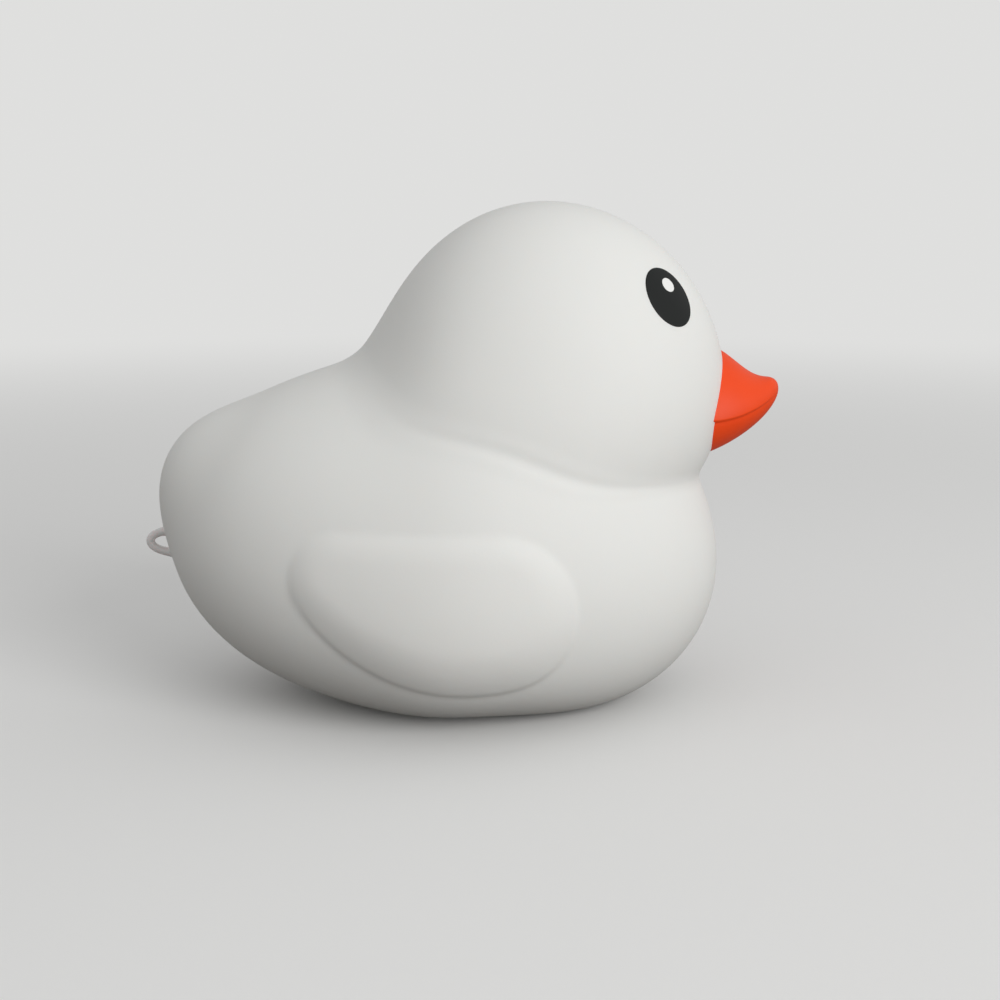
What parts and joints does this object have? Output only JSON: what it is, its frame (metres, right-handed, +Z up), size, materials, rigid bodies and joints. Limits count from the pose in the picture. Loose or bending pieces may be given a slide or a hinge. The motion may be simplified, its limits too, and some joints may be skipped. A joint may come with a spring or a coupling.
{
  "type": "rubber duck",
  "caption": "Large soft vinyl toy duck, hollow, standing on a flat base, with an orange bill, flat black eyes, raised side wings and a small loop at the tail.",
  "frame": {"origin": "middle of the flat base that the duck stands on", "axes": "+Z up, +X towards the bill, -Y towards the duck's right side"},
  "size_m": [0.1533, 0.1022, 0.1191],
  "materials": {
    "white_vinyl": "matte soft-touch skin, off-white",
    "orange_vinyl": "satin, red-orange",
    "black_print": "satin black print",
    "white_print": "satin white print",
    "clear_vinyl": "milky, slightly pink, smooth"
  },
  "bodies": {
    "root": {"duck_body": "white_vinyl", "beak": "orange_vinyl", "eye_right": "black_print", "eye_left": "black_print", "glint_right": "white_print", "glint_left": "white_print", "tail_loop": "clear_vinyl"}
  },
  "joints": []
}
